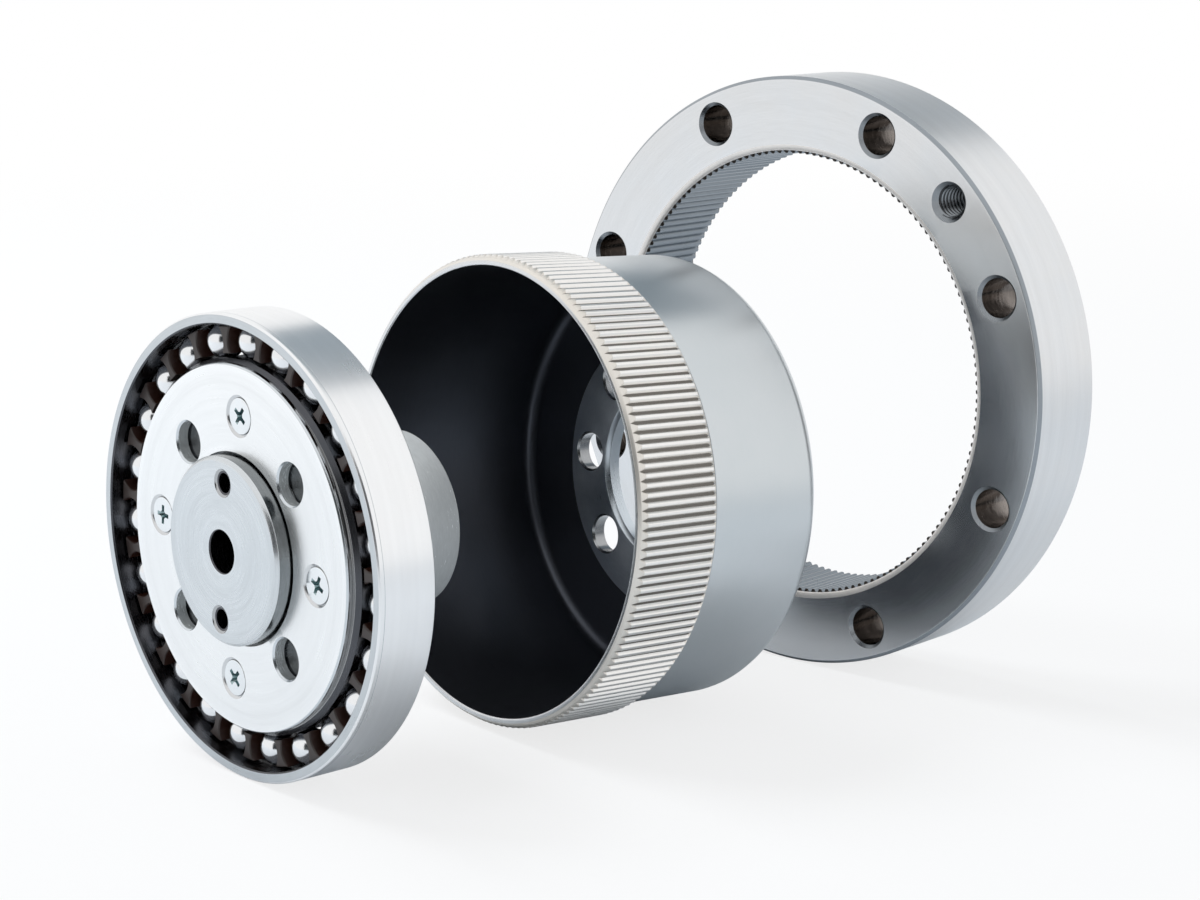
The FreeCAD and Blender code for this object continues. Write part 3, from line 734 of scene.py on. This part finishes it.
face, bevel, edge = range(3)
plate = turned("retaining_plate_body", softened([
    (plate_opening, plate_front, face), (plate_outside - plate_bevel, plate_front, bevel),
    (plate_outside, plate_front + plate_bevel, edge), (plate_outside, plate_lip_rear, edge),
    (plate_spigot, plate_lip_rear, edge), (plate_spigot, plate_rear, edge),
    (plate_opening, plate_rear, edge)], 0.06), [plate_steel, plate_bevel_steel, plate_edge_steel])
plate_tool = bored(plate_hole_radius, plate_hole_depth, plate_bevel, plate_bevel_steel, plate_hole_steel)
moved_along(plate_tool, plate_front)
cut(plate, copied(plate_tool, plate_hole_count, plate_hole_start, plate_hole_circle))
sink_tool = turned("sink", [
    (0.0, sink_tool_front, 0), (sink_mouth, sink_tool_front, 0), (sink_mouth, sink_mouth_depth, 0),
    (head_radius + sink_clearance, head_edge, 0), (shank_radius + sink_clearance, head_end, 0),
    (shank_radius + sink_clearance, sink_tool_rear, 0), (0.0, sink_tool_rear, 0)], [sink_steel], steps=64)
cut(plate, copied(sink_tool, screw_count, 0.0, screw_circle))
settled(plate, wave_place, "rotor", "plate_steel", "retaining_plate")

screw = turned("plate_screws_bodies", softened([
    (0.0, head_top, 0), (head_radius - head_edge_bevel, head_top, 0), (head_radius, head_edge, 0),
    (shank_radius, head_end, 0), (shank_radius, shank_end - shank_point, 0),
    (shank_radius - shank_point, shank_end, 0), (0.0, shank_end, 0)], 0.06), [screw_zinc], steps=48)
for reach, width in ((cross_reach, cross_half_width), (cross_half_width, cross_reach)):
    wing_corners = []
    for station, share in cross_cuts:
        for x, z in ((-1, -1), (1, -1), (1, 1), (-1, 1)):
            wing_corners.append((x * reach * share, station, z * width * share))
    wing_faces = [(0, 1, 2, 3), (8, 9, 10, 11)]
    for section in (0, 4):
        for index in range(4):
            after = (index + 1) % 4
            wing_faces.append((section + index, section + after, section + 4 + after, section + 4 + index))
    cut(screw, piece_from("wing", wing_corners, wing_faces, [recess_shade_zinc]))
cross_middle = turned("recess", [
    (0.0, cross_front, 0), (cross_middle_mouth, cross_front, 0), (cross_middle_radius, head_top, 0),
    (cross_middle_point, cross_middle_end, 0), (0.0, cross_middle_end, 0)], [recess_shade_zinc], steps=24)
cut(screw, cross_middle)
copied(screw, screw_count, 0.0, screw_circle, loose_turn=90.0)
settled(screw, wave_place, "rotor", "screw_zinc", "plate_screws")


# Input hub: the piece that the motor turns, with a steel boss in front, a flange that the plate keeps
# in the plug, and a long sleeve behind. It is turned in one piece and bored through.
# Two holes above and below its bore are drilled and countersunk from the front.
hub_front = -2.3
hub_outside = 15.6
hub_bevel = 0.6
hub_side_rear = 1.8
hub_neck = 15.2
hub_neck_bevel = 0.4
hub_flange = 16.8
hub_flange_front = 3.0
hub_flange_rear = 4.5
hub_bore = 3.5
hub_bore_bevel = 0.2
sleeve_outside = 15.05
sleeve_rear = 35.2
sleeve_bevel = 0.5
recess_radius = 7.5
recess_front = 10.0
front_hole_radius = 1.65
front_hole_start = -1.9
front_hole_end = 5.2
front_hole_point = 6.0
front_hole_circle = 11.5
front_sink_tool_radius = 3.1
front_sink_tool_front = -3.0
front_sink_radius = 2.0
front_sink_end = -1.95
hub_steel = metal("Hub steel", wave_place, (0.67, 0.70, 0.72), 0.26, marks=0.7, mottle=0.15,
                  anisotropy=0.6, pitch=2.5, shortness=1.6, bands=0.16)
# Painted shade: the hub's side, sunk in the plate's opening, is coloured much darker than its face.
hub_side_shade_steel = metal("Hub side painted shade", wave_place, (0.26, 0.28, 0.29), 0.22, marks=1.0, mottle=0.8,
                       pitch=1.5, shortness=5.0)
# Painted light: the sleeve sits in the shade of the bearing, and is made nearly white and mostly non-metal
# so that it looks lit.
sleeve_lit_steel = metal("Sleeve painted light", wave_place, (0.93, 0.98, 1.00), 0.24, marks=0.6, mottle=0.4,
                     metallic=0.35)
# Painted shade: the bore, the recess behind it and the front holes are coloured near black.
hub_hole_shade_steel = metal("Hub hole painted shade", wave_place, (0.10, 0.10, 0.11), 0.25, marks=1.0, mottle=0.5,
                       along_axis=True)

face, sleeve, bore, side = range(4)
hub = turned("input_hub_body", softened([
    (hub_bore + hub_bore_bevel, hub_front, face), (hub_outside - hub_bevel, hub_front, face),
    (hub_outside, hub_front + hub_bevel, side), (hub_outside, hub_side_rear, side),
    (hub_neck, hub_side_rear + hub_neck_bevel, side), (hub_neck, hub_flange_front, sleeve),
    (hub_flange, hub_flange_front, sleeve), (hub_flange, hub_flange_rear, sleeve),
    (sleeve_outside, hub_flange_rear, sleeve), (sleeve_outside, sleeve_rear - sleeve_bevel, sleeve),
    (sleeve_outside - sleeve_bevel, sleeve_rear, sleeve), (recess_radius, sleeve_rear, bore),
    (recess_radius, recess_front, bore), (hub_bore, recess_front, bore),
    (hub_bore, hub_front + hub_bore_bevel, bore)], 0.1),
    [hub_steel, sleeve_lit_steel, hub_hole_shade_steel, hub_side_shade_steel])
front_hole = turned("front_hole", [
    (0.0, front_sink_tool_front, 0), (front_sink_tool_radius, front_sink_tool_front, 0),
    (front_sink_radius, front_sink_end, 1), (front_hole_radius, front_hole_start, 1),
    (front_hole_radius, front_hole_end, 1), (0.0, front_hole_point, 0)],
    [plate_edge_steel, hub_hole_shade_steel], steps=48)
cut(hub, copied(front_hole, 2, 90.0, front_hole_circle))
settled(hub, wave_place, "hub", "hub_steel", "input_hub")


# Studio: a plain pale floor under white light from all round, and one large soft lamp from the upper left.
# Two grey cards that only the metal sees draw its edges, as a photographer sets them.
# Sizes and places here are in metres.
floor_level = -0.0551
floor_half = 12.0
set_centre = (-0.01, -0.05, 0.0)
floor_centre = (-0.01, -0.05, -0.055)
floor_finish = bpy.data.materials.new("Floor")
floor_finish.use_nodes = True
floor_tree = floor_finish.node_tree
floor_shader = floor_tree.nodes["Principled BSDF"]
floor_shader.inputs["Base Color"].default_value = (0.81, 0.85, 0.89, 1.0)
floor_shader.inputs["Roughness"].default_value = 1.0
floor_shader.inputs["Specular IOR Level"].default_value = 0.0
floor_distance = node(floor_tree, "ShaderNodeVectorMath", {
    0: node(floor_tree, "ShaderNodeTexCoord").outputs["Object"], 1: floor_centre}, operation="DISTANCE")
floor_rays = node(floor_tree, "ShaderNodeLightPath").outputs


def floor_glow(ray, near):
    """Share of plain white that one kind of ray sees, rising with the distance from the object."""
    rise = node(floor_tree, "ShaderNodeMapRange", {
        "Value": floor_distance.outputs["Value"], "From Min": 0.24, "From Max": 1.05, "To Min": near,
        "To Max": 1.0}, interpolation_type="SMOOTHSTEP")
    return worked_out(floor_tree, "MULTIPLY", rise.outputs[0], floor_rays[ray])


floor_share = floor_glow("Is Camera Ray", 0.78)
for ray in ("Is Glossy Ray", "Is Transmission Ray"):
    floor_share = worked_out(floor_tree, "MAXIMUM", floor_share, floor_glow(ray, 0.0))
floor_mix = node(floor_tree, "ShaderNodeMixShader", {
    "Fac": floor_share, 1: floor_shader.outputs[0], 2: node(floor_tree, "ShaderNodeEmission").outputs[0]})
floor_tree.links.new(floor_mix.outputs[0], floor_tree.nodes["Material Output"].inputs["Surface"])
floor_mesh = bpy.data.meshes.new("floor")
floor_mesh.from_pydata([(x * floor_half, y * floor_half, floor_level)
                        for x, y in ((-1, -1), (1, -1), (1, 1), (-1, 1))], [], [(0, 1, 2, 3)])
floor_mesh.materials.append(floor_finish)
added("floor", floor_mesh)

world = bpy.data.worlds.new("Studio")
bpy.context.scene.world = world
world.use_nodes = True
world_tree = world.node_tree
world_rays = node(world_tree, "ShaderNodeLightPath").outputs
seen = worked_out(world_tree, "MAXIMUM", world_rays["Is Camera Ray"], world_rays["Is Glossy Ray"])
seen = worked_out(world_tree, "MAXIMUM", seen, world_rays["Is Transmission Ray"])
strength = node(world_tree, "ShaderNodeMapRange", {"Value": seen, "To Min": 0.55, "To Max": 1.0})
sky = world_tree.nodes["Background"]
sky.inputs["Color"].default_value = (1.0, 1.0, 1.0, 1.0)
world_tree.links.new(strength.outputs[0], sky.inputs["Strength"])


def facing(place, forward):
    """Turn of a thing at a place whose forward axis points at the middle of the set."""
    return (Vector(set_centre) - Vector(place)).to_track_quat(forward, "Y")


def lamp(name, place, size, power):
    """Large soft lamp aimed at the set, which leaves no glare of its own on the metal."""
    data = bpy.data.lights.new(name, "AREA")
    data.shape = "RECTANGLE"
    data.size, data.size_y = size
    data.energy = power
    body = added(name, data)
    body.location = place
    body.rotation_euler = facing(place, "-Z").to_euler()
    body.visible_glossy = False


def card(name, place, size, grey):
    """Bluish grey card that shows only in reflections."""
    finish = bpy.data.materials.new(name)
    finish.use_nodes = True
    shader = finish.node_tree.nodes["Principled BSDF"]
    shader.inputs["Base Color"].default_value = (0.85 * grey, grey, 1.1 * grey, 1.0)
    shader.inputs["Roughness"].default_value = 1.0
    mesh = bpy.data.meshes.new(name)
    wide, high = size[0] / 2.0, size[1] / 2.0
    corners = [(-wide, -high, 0), (wide, -high, 0), (wide, high, 0), (-wide, high, 0)]
    mesh.from_pydata(corners, [], [(0, 1, 2, 3)])
    mesh.materials.append(finish)
    mesh.transform(Matrix.Translation(place) @ facing(place, "Z").to_matrix().to_4x4())
    panel = added(name, mesh)
    panel.visible_camera = False
    panel.visible_diffuse = False
    panel.visible_shadow = False
    panel.visible_transmission = False


lamp("Softbox", (-0.75, -0.25, 1.15), (0.9, 0.6), 14.0)
card("card_high", (-0.322, 0.655, 0.783), (0.67, 0.76), 0.37)
card("card_camera", (0.353, -0.794, 0.177), (0.64, 0.60), 0.02)


# Camera: placed and turned as it was fitted to the edges of the three groups in the photograph.
# Its focal length was found in the photograph's own pixels.
photo_width = 1200.0
focal_length_pixels = 2606.1
camera_place = (0.2981, -0.3754, 0.0853)
camera_pitch = math.radians(-11.79)
camera_heading = (-0.6781, 0.7350)
camera_data = bpy.data.cameras.new("Camera")
camera_data.sensor_width = 36.0
camera_data.lens = camera_data.sensor_width * focal_length_pixels / photo_width
camera_data.clip_start = 0.01
camera = added("Camera", camera_data)
camera.location = camera_place
looking = Vector((camera_heading[0] * math.cos(camera_pitch), camera_heading[1] * math.cos(camera_pitch),
                  math.sin(camera_pitch)))
camera.rotation_euler = looking.to_track_quat("-Z", "Y").to_euler()
bpy.context.scene.camera = camera
bpy.context.scene.view_settings.view_transform = "Standard"
